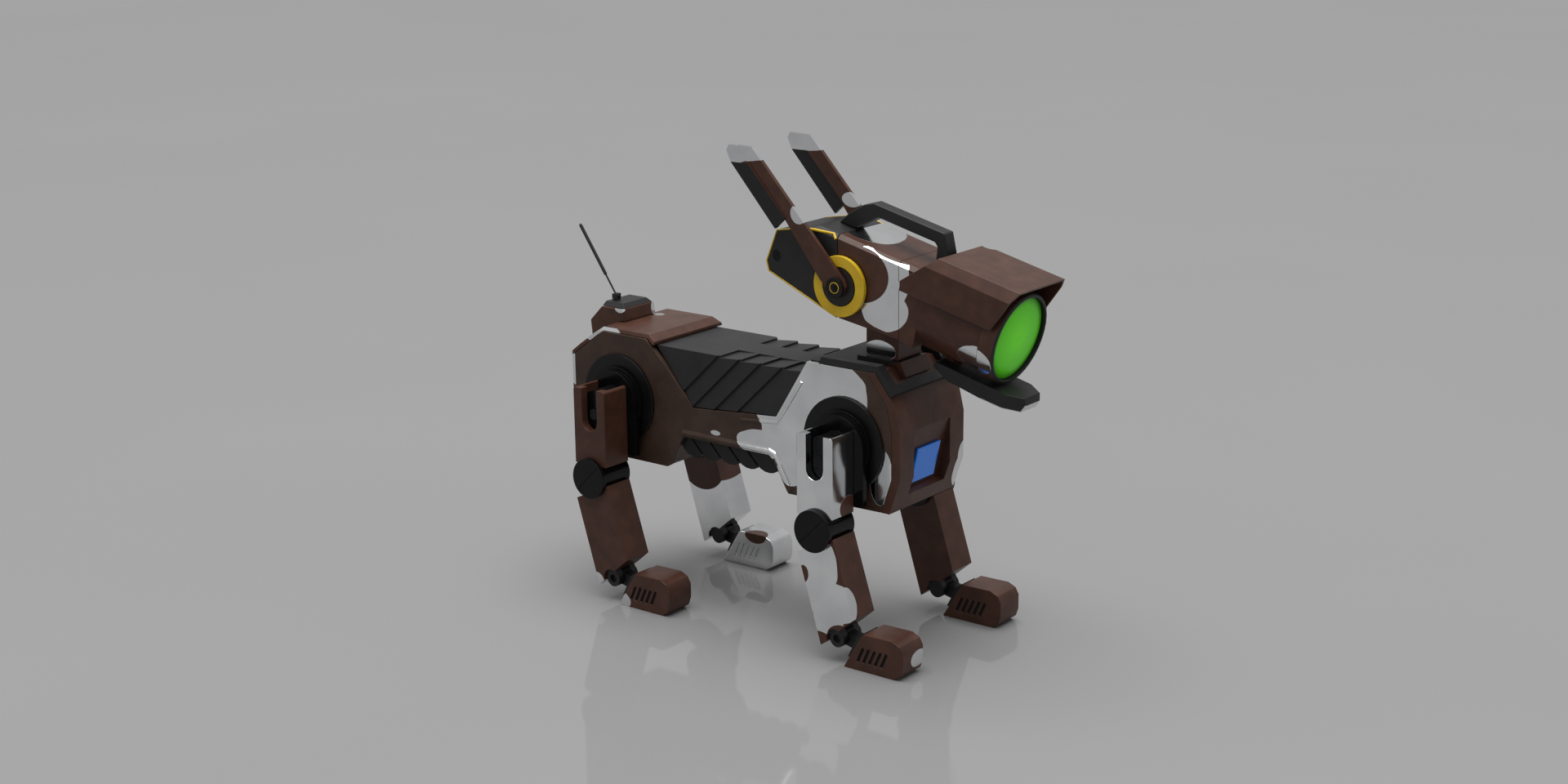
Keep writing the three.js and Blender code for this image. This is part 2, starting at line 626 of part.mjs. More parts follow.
function buildBody(dog) {
  for (const { name, side } of SIDES) place(dog, `side_plate_${name}`, sidePlate(side), BROWN);
  place(dog, 'rear_cover', rearCover(), BROWN);
  place(dog, 'tail_block', tailBlock(), BROWN);
  place(dog, 'tail_cap', join(tailCap(), antennaMount()), BLACK);
  const whip = place(dog, 'antenna_whip', antennaWhip(), BLACK);
  whip.position.set(ANTENNA_FOOT[0], ANTENNA_Y, ANTENNA_HINGE_Z);
  whip.rotation.y = ANTENNA_LEAN;
  place(dog, 'back_armour', backArmour(), BLACK);
  place(dog, 'belly_bellows', bellyBellows(), BLACK);
  place(dog, 'chest_shell', chestShell(), BROWN);
  const screen = place(dog, 'chest_screen', chestScreen(), BLUE);
  screen.position.set(SCREEN_FOOT[0], 0, SCREEN_FOOT[1]);
  screen.rotation.y = SCREEN_LEAN;
  place(dog, 'shoulder_collar', collar(), BLACK);
  place(dog, 'chassis', chassis(), STEEL);
  place(dog, 'battery_pack', battery(), BATTERY_GREY);
  place(dog, 'control_board', controlBoard(), BOARD_GREEN);
}

function buildLeg(dog, end, x, name, side) {
  const tag = `${end}_${name}`;
  place(dog, `hip_motor_${tag}`, hipMotor(x, side), BLACK);
  const leg = new THREE.Group();
  leg.position.x = x;
  dog.add(leg);
  place(leg, `hip_yoke_${tag}`, hipYoke(side), GLOSS_BLACK);
  place(leg, `thigh_${tag}`, thigh(side), end === 'front' ? WHITE : BROWN);
  place(leg, `knee_barrel_${tag}`, kneeBarrel(side), BLACK);
  place(leg, `shank_${tag}`, shank(side), BROWN);
  place(leg, `ankle_fork_${tag}`, ankleFork(side), BLACK);
  place(leg, `ankle_link_${tag}`, ankleLink(side), BLACK);
  place(leg, `foot_${tag}`, foot(side), BROWN);
}

function buildHead(dog) {
  place(dog, 'neck_post', neckPost(), BROWN);
  const head = new THREE.Group();
  head.position.set(EAR_AXIS[0], 0, EAR_AXIS[1]);
  head.rotation.y = HEAD_PITCH;
  dog.add(head);
  place(head, 'head_shell', headShell(), BROWN);
  place(head, 'head_rear_housing', headRear(), BLACK);
  for (const { name, side } of SIDES) {
    place(head, `ear_ring_${name}`, earRing(side), YELLOW);
    place(head, `ear_${name}`, ear(side), BROWN);
  }
  place(head, 'carry_handle', carryHandle(), BLACK);
  place(head, 'visor', visor(), BROWN);
  place(head, 'snout_barrel', snoutBarrel(), BROWN);
  place(head, 'camera_module', cameraModule(), BLACK);
  place(head, 'lens_bezel', lensBezel(), BLACK);
  place(head, 'lens', lens(), GREEN);
  place(head, 'jaw', jaw(), BLACK);
}

const dog = new THREE.Group();
dog.position.x = -LENGTH_CENTRE;
buildBody(dog);
for (const { end, x } of hipAxes()) {
  for (const { name, side } of SIDES) buildLeg(dog, end, x, name, side);
}
buildHead(dog);

export default dog;
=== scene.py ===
"""A quadruped robot dog in brown and polished silver shells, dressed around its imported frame."""

import json
import math

import bmesh
import bpy
from mathutils import Matrix, Quaternion, Vector

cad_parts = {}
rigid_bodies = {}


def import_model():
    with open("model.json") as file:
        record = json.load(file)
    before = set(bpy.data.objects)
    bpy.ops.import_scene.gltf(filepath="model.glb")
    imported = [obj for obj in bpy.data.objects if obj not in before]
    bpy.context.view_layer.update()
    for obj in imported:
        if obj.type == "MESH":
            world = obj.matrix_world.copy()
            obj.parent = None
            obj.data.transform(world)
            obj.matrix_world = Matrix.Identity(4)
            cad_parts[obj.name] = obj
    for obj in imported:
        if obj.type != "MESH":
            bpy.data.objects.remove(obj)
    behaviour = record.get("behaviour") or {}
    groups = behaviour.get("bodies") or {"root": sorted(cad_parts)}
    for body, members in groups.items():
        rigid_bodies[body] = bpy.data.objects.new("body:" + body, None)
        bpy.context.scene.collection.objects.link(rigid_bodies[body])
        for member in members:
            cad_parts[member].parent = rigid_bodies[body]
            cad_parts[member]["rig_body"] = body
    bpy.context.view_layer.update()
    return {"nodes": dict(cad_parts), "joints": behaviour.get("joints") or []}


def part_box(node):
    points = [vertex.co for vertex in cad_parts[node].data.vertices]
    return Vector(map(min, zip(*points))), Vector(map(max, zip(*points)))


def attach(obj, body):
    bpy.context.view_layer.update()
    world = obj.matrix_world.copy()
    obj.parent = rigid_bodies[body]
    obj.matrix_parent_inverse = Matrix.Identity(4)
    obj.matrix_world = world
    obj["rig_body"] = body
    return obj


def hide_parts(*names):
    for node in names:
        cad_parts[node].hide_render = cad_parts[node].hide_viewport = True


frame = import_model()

MM = 0.001
LEGS = [f"{end}_{side}" for end in ("front", "rear") for side in ("right", "left")]
SIDES = {"right": -1, "left": 1}
JOINTS = {joint["name"]: joint for joint in frame["joints"]}
NODES = frame["nodes"]

# the dog's own measures, in millimetres and radians
HEAD_PITCH = math.radians(14)
EAR_LEAN = math.radians(42.8)
EAR_TIP_Z = 485
EAR_TIP_Y = 50
EAR_FLANGE_START = 87
EAR_FLANGE_BACK = 2
EAR_BOSS_RADIUS = 21
EAR_BOSS_INNER = 46.7
EAR_BOSS_FACE = 53
LEG_OUTER_FACE = 107
FOOT_MIDDLE = 89
FOOT_HALF = 18
VENT_DEPTHS = (0.7, 2.8)
ARCH_BEAD_Y = 56.3
ARCH_BEAD_RADIUS = 3.5
PAD_HALF = 22.8
PAD_FACE_X = 137
PAD_FACE_Z = (281.6, 296.5)
JAW_TIP_X = 236
HOUSING_DIMPLE = (-84, 41, 1)
HOUSING_FLANK_Y = 41.2
HOUSING_LEAN_Z = 44
HOUSING_LEAN = 1.25

# the camera and the studio, in metres and radians, with the lens and its sensor in millimetres
CAMERA_AIM = (-0.0176, -0.0014, 0.2368)
CAMERA_AZIMUTH = math.radians(37.89)
CAMERA_HEIGHT_ANGLE = math.radians(15.08)
CAMERA_DISTANCE = 2.3465
CAMERA_ROLL = math.radians(0.56)
CAMERA_LENS = 51.35
CAMERA_SENSOR = 36.0
FLOOR_HALF = 30.0
FLOOR_IOR = 1.3
ROOM_LOW = 0.36
ROOM_HIGH = 0.52
ROOM_RISE = (math.radians(5), math.radians(32))
OVERHEAD = 3.4
OVERHEAD_SPREAD = math.radians(56)


def head_matrix():
    """The head's own frame: from the ear axis, x along the snout, y to the left, z up from it."""
    ear = Vector(JOINTS["ear_tilt_right"]["pos_m"])
    return Matrix.Translation((ear.x, 0, ear.z)) @ Matrix.Rotation(HEAD_PITCH, 4, "Y")


HEAD = head_matrix()


# ---------------------------------------------------------------- materials

def linear(red, green, blue):
    """A colour from its 0-255 display values."""
    def channel(value):
        value /= 255
        return value / 12.92 if value <= 0.04045 else ((value + 0.055) / 1.055) ** 2.4
    return (channel(red), channel(green), channel(blue), 1)


class Paint:
    """One material, with short calls for the nodes that it is made of."""

    def __init__(self, name):
        self.material = bpy.data.materials.new(name)
        self.material.use_nodes = True
        self.tree = self.material.node_tree
        self.tree.nodes.clear()
        self.shader = self.node("ShaderNodeBsdfPrincipled")
        output = self.node("ShaderNodeOutputMaterial")
        self.tree.links.new(self.shader.outputs["BSDF"], output.inputs["Surface"])
        self.place = self.node("ShaderNodeTexCoord").outputs["Object"]

    def node(self, kind, **settings):
        node = self.tree.nodes.new(kind)
        for key, value in settings.items():
            setattr(node, key, value)
        return node

    def put(self, socket, value):
        if isinstance(value, bpy.types.NodeSocket):
            self.tree.links.new(value, socket)
        else:
            socket.default_value = value

    def set(self, **values):
        for key, value in values.items():
            self.put(self.shader.inputs[key.replace("_", " ")], value)

    def math(self, operation, a, b=0.0, c=0.0):
        node = self.node("ShaderNodeMath", operation=operation)
        for socket, value in zip(node.inputs, (a, b, c)):
            self.put(socket, value)
        return node.outputs[0]

    def vector(self, operation, a, b=(0, 0, 0)):
        node = self.node("ShaderNodeVectorMath", operation=operation)
        self.put(node.inputs[0], a)
        self.put(node.inputs[1], b)
        return node.outputs["Value" if operation in ("LENGTH", "DISTANCE") else "Vector"]

    def noise(self, scale, detail=3.0, stretch=None):
        node = self.node("ShaderNodeTexNoise")
        place = self.vector("MULTIPLY", self.place, stretch) if stretch else self.place
        self.put(node.inputs["Vector"], place)
        self.put(node.inputs["Scale"], scale)
        self.put(node.inputs["Detail"], detail)
        return node.outputs["Fac"]

    def steps(self, value, *stops):
        """A colour ramp over (place, colour) stops."""
        ramp = self.node("ShaderNodeValToRGB")
        elements = ramp.color_ramp.elements
        while len(elements) < len(stops):
            elements.new(0.5)
        for element, (place, colour) in zip(elements, stops):
            element.position = place
            element.color = colour
        self.put(ramp.inputs["Fac"], value)
        return ramp.outputs["Color"]

    def span(self, value, low, high):
        """A 0-1 value stretched to run from low to high."""
        return self.math("MULTIPLY_ADD", value, high - low, low)

    def mix(self, share, a, b):
        node = self.node("ShaderNodeMix", data_type="RGBA")
        self.put(node.inputs[0], share)
        self.put(node.inputs[6], a)
        self.put(node.inputs[7], b)
        return node.outputs[2]

    def bump(self, height, distance, strength=1.0):
        node = self.node("ShaderNodeBump")
        self.put(node.inputs["Height"], height)
        self.put(node.inputs["Distance"], distance)
        self.put(node.inputs["Strength"], strength)
        self.put(self.shader.inputs["Normal"], node.outputs["Normal"])

    def beyond(self, point, direction):
        """How far a place lies past a plane, in metres: above 0 on the direction's side."""
        node = self.node("ShaderNodeVectorMath", operation="DOT_PRODUCT")
        self.put(node.inputs[0], self.vector("SUBTRACT", self.place, tuple(point)))
        self.put(node.inputs[1], tuple(direction))
        return node.outputs["Value"]

    def both(self, *depths):
        """Above 0 only where every depth is."""
        joined = depths[0]
        for depth in depths[1:]:
            joined = self.math("MINIMUM", joined, depth)
        return joined

    def either(self, *depths):
        """Above 0 where any depth is."""
        joined = depths[0]
        for depth in depths[1:]:
            joined = self.math("MAXIMUM", joined, depth)
        return joined

    def edge(self, depth, sharpness):
        """1 inside and 0 outside, with a crisp border where depth passes 0."""
        clamp = self.node("ShaderNodeClamp")
        self.put(clamp.inputs["Value"], self.math("MULTIPLY_ADD", depth, sharpness, 0.5))
        return clamp.outputs[0]

    def pick(self, share, a, b):
        """A number that runs from a to b."""
        node = self.node("ShaderNodeMix", data_type="FLOAT")
        for socket, value in zip((node.inputs[0], node.inputs[2], node.inputs[3]), (share, a, b)):
            self.put(socket, value)
        return node.outputs[0]

    def patches(self, spots):
        """Above 0 inside any of the soft ellipsoids (x, y, z, half-sizes), in millimetres."""
        inside = None
        for x, y, z, rx, ry, rz in spots:
            centred = self.vector("SUBTRACT", self.place, (x * MM, y * MM, z * MM))
            scaled = self.vector("DIVIDE", centred, (rx * MM, ry * MM, rz * MM))
            depth = self.math("SUBTRACT", 1.0, self.vector("LENGTH", scaled))
            inside = depth if inside is None else self.math("MAXIMUM", inside, depth)
        return inside


BROWNS = (linear(65, 40, 30), linear(79, 50, 39))
# painted shade: a darker copy of the brown paint for the side plates, standing in for the shade on
# the dog's flanks
PLATE_BROWNS_SHADED = (linear(55, 40, 32), linear(67, 49, 40))
BLACK = linear(27, 27, 28)
SILVER = linear(232, 233, 234)
SILVER_DULL = linear(214, 215, 217)


def pinto(name, silver, brown=(), cover=None, browns=BROWNS):
    """Satin paint in two browns with irregular patches of polished metal. Silver and brown
    list the patches' ellipsoids, and cover(paint) gives a depth above 0 on black trim."""
    paint = Paint(name)
    wobble = paint.span(paint.noise(24.0, 2.0), -0.24, 0.24)
    depth = paint.math("ADD", paint.patches(silver), wobble)
    if brown:
        depth = paint.both(depth, paint.math("MULTIPLY", paint.patches(brown), -1.0))
    bare = paint.edge(depth, 60.0)
    coat = paint.steps(paint.noise(60.0, 4.0), (0.35, browns[0]), (0.7, browns[1]))
    if cover:
        black = paint.edge(cover(paint), 4000.0)
        coat = paint.mix(black, coat, BLACK)
        bare = paint.math("MULTIPLY", bare, paint.math("SUBTRACT", 1.0, black))
    metal = paint.steps(paint.noise(25.0, 3.0), (0.3, SILVER_DULL), (0.7, SILVER))
    satin = paint.span(paint.noise(180.0, 3.0), 0.32, 0.42)
    polish = paint.span(paint.noise(40.0, 3.0), 0.08, 0.15)
    paint.set(Base_Color=paint.mix(bare, coat, metal), Metallic=bare)
    paint.set(Roughness=paint.pick(bare, satin, polish), Specular_IOR_Level=0.3)
    step = paint.math("MULTIPLY", bare, -6.0)
    paint.bump(paint.math("ADD", paint.noise(900.0, 2.0), step), 0.00003)
    return paint.material


def plastic(name, dark, light, roughness, grain=1400.0, depth=0.00006, gloss=0.4):
    """Moulded or painted plastic with a fine grain and uneven gloss."""
    paint = Paint(name)
    paint.set(Base_Color=paint.steps(paint.noise(45.0, 4.0), (0.3, dark), (0.7, light)))
    paint.set(Roughness=paint.span(paint.noise(120.0, 3.0), roughness - 0.05, roughness + 0.05))
    paint.set(Specular_IOR_Level=gloss)
    paint.bump(paint.noise(grain, 2.0), depth)
    return paint.material


def brushed(name, colour, roughness):
    """Machined metal with fine marks along X."""
    paint = Paint(name)
    marks = paint.noise(900.0, 3.0, stretch=(0.05, 1.0, 1.0))
    paint.set(Base_Color=paint.mix(marks, colour, linear(235, 235, 238)), Metallic=1.0)
    paint.set(Roughness=paint.span(marks, roughness, roughness + 0.15))
    paint.bump(marks, 0.00003)
    return paint.material


def lens_glass():
    """Bright green glass, darker towards its rim by painted shade, with a painted glow though the
    lens gives no light.
    """
    paint = Paint("lens_green")
    low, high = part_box("lens")
    centre = tuple((low + high) / 2)
    radius = (high.y - low.y) / 2
    reach = paint.math("DIVIDE", paint.vector("DISTANCE", paint.place, centre), radius)
    shade = paint.math("ADD", reach, paint.span(paint.noise(20.0, 2.0), -0.06, 0.06))
    # the darker rim colour is painted shade, and the lighter core is the lit middle of the glass
    rim, middle, core = linear(36, 92, 14), linear(68, 164, 16), linear(84, 188, 20)
    green = paint.steps(shade, (0.2, core), (0.8, middle), (1.0, rim))
    paint.set(Base_Color=green, Roughness=0.3, Specular_IOR_Level=0.25)
    # painted glow: emission brightens the lens, which is no lamp
    paint.set(Emission_Color=green, Emission_Strength=0.4)
    return paint.material


def screen_glass():
    """A lit blue panel behind glass, with a faint raster."""
    paint = Paint("screen_blue")
    rows = paint.node("ShaderNodeTexWave", bands_direction="Z")
    paint.put(rows.inputs["Vector"], paint.place)
    paint.put(rows.inputs["Scale"], 260.0)
    blue = paint.mix(rows.outputs["Fac"], linear(8, 84, 166), linear(14, 102, 190))
    paint.set(Base_Color=blue, Roughness=0.12, Coat_Weight=0.2)
    paint.set(Emission_Color=blue, Emission_Strength=0.35)
    return paint.material


def circuit_board():
    """Solder mask with a pattern of traces."""
    paint = Paint("board_green")
    traces = paint.node("ShaderNodeTexVoronoi", distance="MANHATTAN")
    paint.put(traces.inputs["Vector"], paint.place)
    paint.put(traces.inputs["Scale"], 120.0)
    mask, trace = linear(22, 74, 44), linear(48, 122, 70)
    green = paint.steps(traces.outputs["Distance"], (0.42, mask), (0.5, trace))
    paint.set(Base_Color=green, Roughness=0.35)
    paint.bump(traces.outputs["Distance"], 0.0002)
    return paint.material


# patches of polished metal, and of brown that interrupts them, by region of the dog:
# x, y, z and half-sizes in millimetres
PLATE_SILVER = [
    (58, -57, 232, 66, 14, 66), (92, -57, 262, 40, 14, 36), (-4, -57, 196, 34, 12, 15),
    (34, -57, 176, 16, 12, 18), (146, -57, 188, 14, 12, 28), (-66, -57, 197, 7, 6, 3),
    (-146, 57, 244, 34, 14, 44), (-118, 57, 226, 34, 14, 20), (-186, 57, 166, 36, 14, 20),
    (-222, 57, 182, 22, 14, 30), (96, 57, 168, 46, 14, 20), (60, 57, 188, 26, 14, 24),
    (-24, 57, 208, 26, 10, 9), (-4, 57, 198, 14, 10, 12), (128, 57, 270, 18, 14, 22),
]
HOOD_SILVER = [
    (-226, -58, 284, 30, 10, 13), (-262, -53, 236, 12, 9, 20), (-224, -26, 304, 7, 5, 5),
    (-213, 26, 297, 9, 8, 10), (-262, 18, 176, 14, 30, 16), (-262, 34, 194, 14, 15, 24),
    (-196, 58, 272, 26, 10, 10), (166, 58, 178, 20, 12, 26), (-240, 60, 190, 26, 10, 30),
]
HEAD_SILVER = [
    (138, -40, 354, 29, 12, 22), (150, -40, 388, 18, 12, 32), (128, -40, 409, 24, 9, 8),
    (98, 8, 420, 40, 34, 12), (119, -18, 306, 19, 14, 10), (244, -38, 318, 22, 16, 16),
    (206, 42, 409, 10, 8, 10), (132, 40, 344, 20, 12, 20), (148, 40, 364, 18, 12, 26),
    (204, 40, 338, 22, 18, 14), (222, 40, 352, 14, 16, 20),
]
HEAD_BROWN = [(106, -40, 385, 37, 10, 29), (140, -32, 404, 34, 6, 11)]
# legs are placed from the hip axis, on the outer face
LEG_SILVER = {
    "front_right": [
        (-1, 0, -114, 27, 14, 40), (23, 0, -151, 34, 14, 21), (17, 0, -170, 20, 14, 24),
        (106, 28, -197, 8, 13, 9),
    ],
    "front_left": [(-8, 4, -24, 20, 10, 24), (16, 4, -158, 16, 8, 24)],
    "rear_right": [(4, 0, -196, 11, 24, 12), (40, 0, -208, 12, 20, 9)],
    "rear_left": [(10, 0, -160, 70, 70, 60), (76, 0, -196, 76, 70, 40)],
}
LEG_BROWN = {
    "front_right": [(-14, 0, -126, 6, 8, 9), (6, 0, -203, 24, 30, 20), (34, 0, -185, 19, 30, 14)],
    "front_left": [],
    "rear_right": [],
    "rear_left": [(6, -20, -104, 34, 60, 32), (82, -36, -176, 15, 14, 9)],
}
THIGH_SILVER = [(101, -89, 190, 120, 90, 160)]
THIGH_BROWN = [(123, -80, 158, 6, 14, 12)]
EAR_SILVER = [(41, -50, 440, 11, 7, 11), (36, 47, 440, 13, 5, 8), (8, 58, 470, 14, 7, 10)]


def leg_shell(tag):
    """The shell paint of one leg, with its patches placed from the hip axis."""
    hip = Vector(JOINTS[f"hip_{tag}"]["pos_m"]) / MM
    outer = math.copysign(LEG_OUTER_FACE, hip.y)

    def placed(spots):
        return [(x + hip.x, y + outer, z + hip.z, *sizes) for x, y, z, *sizes in spots]

    return pinto(f"pinto_{tag}", placed(LEG_SILVER[tag]), placed(LEG_BROWN[tag]))


def ear_shell(side):
    """The ear's arm is brown and silver, and its rear flange and hub are black."""
    joint = Vector(JOINTS[f"ear_tilt_{side}"]["pos_m"])
    lean = HEAD.to_3x3() @ Matrix.Rotation(-EAR_LEAN - HEAD_PITCH, 3, "Y")
    along, across = lean @ Vector((0, 0, 1)), lean @ Vector((1, 0, 0))
    out = Vector((0, SIDES[side], 0))

    def cover(paint):
        flange = paint.both(
            paint.beyond(joint - across * EAR_FLANGE_BACK * MM, -across),
            paint.beyond(joint + along * EAR_FLANGE_START * MM, along),
            paint.beyond((0, 0, EAR_TIP_Z * MM), (0, 0, -1)),
        )
        from_joint = paint.vector("SUBTRACT", paint.place, tuple(joint))
        from_axis = paint.vector("MULTIPLY", from_joint, (1, 0, 1))
        hub = paint.both(
            paint.math("SUBTRACT", EAR_BOSS_RADIUS * MM, paint.vector("LENGTH", from_axis)),
            paint.beyond(Vector((0, SIDES[side] * EAR_BOSS_INNER * MM, 0)), -out),
        )
        return paint.either(flange, hub)

    tip = (-35, SIDES[side] * EAR_TIP_Y, EAR_TIP_Z + 20, 60, 20, 20)
    return pinto(f"pinto_ear_{side}", [tip, *EAR_SILVER], cover=cover)


# the side plates' darker browns are painted shade
PLATE_SHELL = pinto("pinto_plate", PLATE_SILVER, browns=PLATE_BROWNS_SHADED)
HOOD_SHELL = pinto("pinto_hood", HOOD_SILVER)
HEAD_SHELL = pinto("pinto_head", HEAD_SILVER, HEAD_BROWN)
LEG_SHELLS = {tag: leg_shell(tag) for tag in LEGS}
EAR_SHELLS = {side: ear_shell(side) for side in SIDES}
POLISHED = pinto("polished_silver", THIGH_SILVER, THIGH_BROWN)
TRIM = plastic("black_trim", linear(22, 22, 23), linear(30, 30, 31), 0.5)
TRIM_GLOSS = plastic(
    "black_gloss", linear(8, 8, 9), linear(13, 13, 14), 0.2, depth=0.00002, gloss=0.2)
RUBBER = plastic(
    "black_rubber", linear(22, 22, 22), linear(30, 30, 30), 0.62, grain=900.0, depth=0.0001)
ANODISED = plastic("motor_black", linear(10, 10, 11), linear(16, 16, 17), 0.34, gloss=0.25)
YELLOW = plastic("ring_yellow", linear(196, 160, 26), linear(214, 178, 38), 0.32)
JAW_TIP = brushed("jaw_tip_silver", linear(196, 197, 199), 0.16)
LENS = lens_glass()
SCREEN = screen_glass()
METAL = brushed("frame_metal", linear(150, 152, 156), 0.28)
BOARD = circuit_board()
BATTERY = plastic("battery_grey", linear(84, 88, 92), linear(102, 105, 110), 0.45)


# ---------------------------------------------------------------- mesh helpers

def link(name, mesh, material, body):
    """Puts a finished mesh in the scene as a piece that rides on a body."""
    if not mesh.materials:
        mesh.materials.append(material)
    piece = bpy.data.objects.new(name, mesh)
    bpy.context.scene.collection.objects.link(piece)
    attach(piece, body)
    return piece


def settle(piece):
    """Applies a piece's modifiers to its mesh."""
    graph = bpy.context.evaluated_depsgraph_get()
    mesh = bpy.data.meshes.new_from_object(piece.evaluated_get(graph))
    piece.modifiers.clear()
    piece.data = mesh
    return piece


def ease(piece, radius, segments=2, sharp=30):
    """Rounds every sharp edge of a piece and leaves its flat faces flat."""
    for polygon in piece.data.polygons:
        polygon.use_smooth = True
    bevel = piece.modifiers.new("round", "BEVEL")
    bevel.limit_method = "ANGLE"
    bevel.angle_limit = math.radians(sharp)
    bevel.width = radius * MM
    bevel.segments = segments
    bevel.miter_outer = "MITER_ARC"
    weighted = piece.modifiers.new("flat", "WEIGHTED_NORMAL")
    weighted.keep_sharp = True
    return settle(piece)


def skin(node, material, radius, segments=2):
    """A CAD node's own shape with rounded edges, in place of the node."""
    bm = bmesh.new()
    bm.from_mesh(NODES[node].data)
    bmesh.ops.remove_doubles(bm, verts=bm.verts, dist=0.002 * MM)
    bmesh.ops.dissolve_limit(bm, angle_limit=math.radians(0.6), verts=bm.verts, edges=bm.edges)
    bmesh.ops.remove_doubles(bm, verts=bm.verts, dist=0.6 * MM)
    bmesh.ops.triangulate(bm, faces=[face for face in bm.faces if len(face.verts) > 4])
    mesh = bpy.data.meshes.new(node + "_skin")
    bm.to_mesh(mesh)
    bm.free()
    piece = link(node + "_skin", mesh, material, NODES[node]["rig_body"])
    ease(piece, radius, segments)
    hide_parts(node)
    return piece


def recolour(piece, material, test):
    """Gives the faces whose centre passes the test a second material."""
    piece.data.materials.append(material)
    for polygon in piece.data.polygons:
        if test(polygon.center / MM, polygon.normal):
            polygon.material_index = len(piece.data.materials) - 1


def tube(name, points, radius, material, body):
    """A round strip along a line of points."""
    curve = bpy.data.curves.new(name, "CURVE")
    curve.dimensions = "3D"
    curve.bevel_depth = radius * MM
    curve.bevel_resolution = 3
    curve.use_fill_caps = True
    spline = curve.splines.new("POLY")
    spline.points.add(len(points) - 1)
    for place, point in zip(spline.points, points):
        place.co = (*point, 1)
    return mesh_of(name, curve, material, body)


def mesh_of(name, curve, material, body):
    """A curve's surface as a mesh piece."""
    source = bpy.data.objects.new(name, curve)
    bpy.context.scene.collection.objects.link(source)
    graph = bpy.context.evaluated_depsgraph_get()
    mesh = bpy.data.meshes.new_from_object(source.evaluated_get(graph))
    bpy.data.objects.remove(source)
    for polygon in mesh.polygons:
        polygon.use_smooth = True
    return link(name, mesh, material, body)


def turned(name, matrix, profile, material, body, sides=64):
    """A shape turned about its matrix's z axis from (radius, height) points in millimetres."""
    bm = bmesh.new()
    rings = []
    for radius, height in profile:
        turns = [math.tau * side / sides for side in range(sides)]
        places = [(radius * math.cos(turn), radius * math.sin(turn), height) for turn in turns]
        rings.append([bm.verts.new(matrix @ (Vector(place) * MM)) for place in places])
    for low, high in zip(rings, rings[1:]):
        for side in range(sides):
            after = (side + 1) % sides
            bm.faces.new((low[side], low[after], high[after], high[side]))
    bmesh.ops.remove_doubles(bm, verts=bm.verts, dist=0.01 * MM)
    bmesh.ops.recalc_face_normals(bm, faces=bm.faces)
    mesh = bpy.data.meshes.new(name)
    bm.to_mesh(mesh)
    bm.free()
    piece = link(name, mesh, material, body)
    return ease(piece, 0.25)


# ---------------------------------------------------------------- the dog

def dress_body():
    for side in SIDES:
        skin(f"side_plate_{side}", PLATE_SHELL, 0.6)
        arch_bead(side)
    for node in ("rear_cover", "tail_block", "chest_shell"):
        skin(node, HOOD_SHELL, 1.0)
    skin("tail_cap", TRIM, 0.4)
    skin("back_armour", TRIM, 0.4)
    skin("belly_bellows", RUBBER, 1.4)
    collar = skin("shoulder_collar", TRIM, 0.6)
    recolour(collar, HOOD_SHELL, is_pad_front)
    skin("chest_screen", SCREEN, 0.5)
    skin("chassis", METAL, 0.5)
    skin("battery_pack", BATTERY, 1.5)
    skin("control_board", BOARD, 0.3)
    skin("antenna_whip", TRIM, 0.3)


def arch_bead(side):
    """The half-round bead along a side plate's lower edge, over the belly arch."""
    line = [(-110.3, 189.5), (6.2, 189.5), (11.5, 187.5), (14.6, 183.2), (32.7, 151.8)]
    points = [Vector((x, SIDES[side] * ARCH_BEAD_Y, z)) * MM for x, z in line]
    body = NODES[f"side_plate_{side}"]["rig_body"]
    tube(f"arch_bead_{side}", points, ARCH_BEAD_RADIUS, PLATE_SHELL, body)


def is_pad_front(place, normal):
    """The sloping front of the pad before the neck, which is brown."""
    low, high = PAD_FACE_Z
    on_pad = abs(place.y) < PAD_HALF and place.x > PAD_FACE_X and low < place.z < high
    return on_pad and normal.z < 0.8


def dress_leg(tag):
    shell = LEG_SHELLS[tag]
    skin(f"hip_motor_{tag}", ANODISED, 0.8)
    skin(f"hip_yoke_{tag}", TRIM_GLOSS, 0.8)
    skin(f"thigh_{tag}", POLISHED if tag == "front_right" else shell, 1.0)
    skin(f"knee_barrel_{tag}", TRIM_GLOSS, 0.5)
    skin(f"shank_{tag}", shell, 0.8)
    skin(f"ankle_fork_{tag}", TRIM, 0.5)
    skin(f"ankle_link_{tag}", TRIM, 0.5)
    foot = skin(f"foot_{tag}", shell, 0.8)
    if tag != "rear_left":
        recolour(foot, RUBBER, is_vent_inside)


def is_vent_inside(place, normal):
    """The walls and floors of the slots in a foot's two sides, which are dark."""
    depth = FOOT_HALF - abs(abs(place.y) - FOOT_MIDDLE)
    return VENT_DEPTHS[0] < depth < VENT_DEPTHS[1]


def dress_head():
    skin("neck_post", HEAD_SHELL, 1.0)
    skin("head_shell", HEAD_SHELL, 0.9)
    skin("head_rear_housing", TRIM, 1.2)
    for side in SIDES:
        skin(f"ear_ring_{side}", YELLOW, 0.6)
        skin(f"ear_{side}", EAR_SHELLS[side], 0.2)
        ear_hub(side)
        housing_trim(side)
        housing_dimple(side)
    skin("carry_handle", TRIM, 1.6, 3)
    skin("visor", HEAD_SHELL, 0.5)
    skin("snout_barrel", HEAD_SHELL, 0.6)
    skin("camera_module", ANODISED, 0.6)
    bezel = skin("lens_bezel", TRIM, 0.6)
    recolour(bezel, HEAD_SHELL, is_bezel_wall)
    skin("lens", LENS, 0.4)
    jaw = skin("jaw", TRIM, 1.0)
    recolour(jaw, JAW_TIP, is_jaw_tip)


def is_jaw_tip(place, normal):
    """The front end and underside of the jaw, which are bare metal."""
    return place.x > JAW_TIP_X and normal.z < -0.25


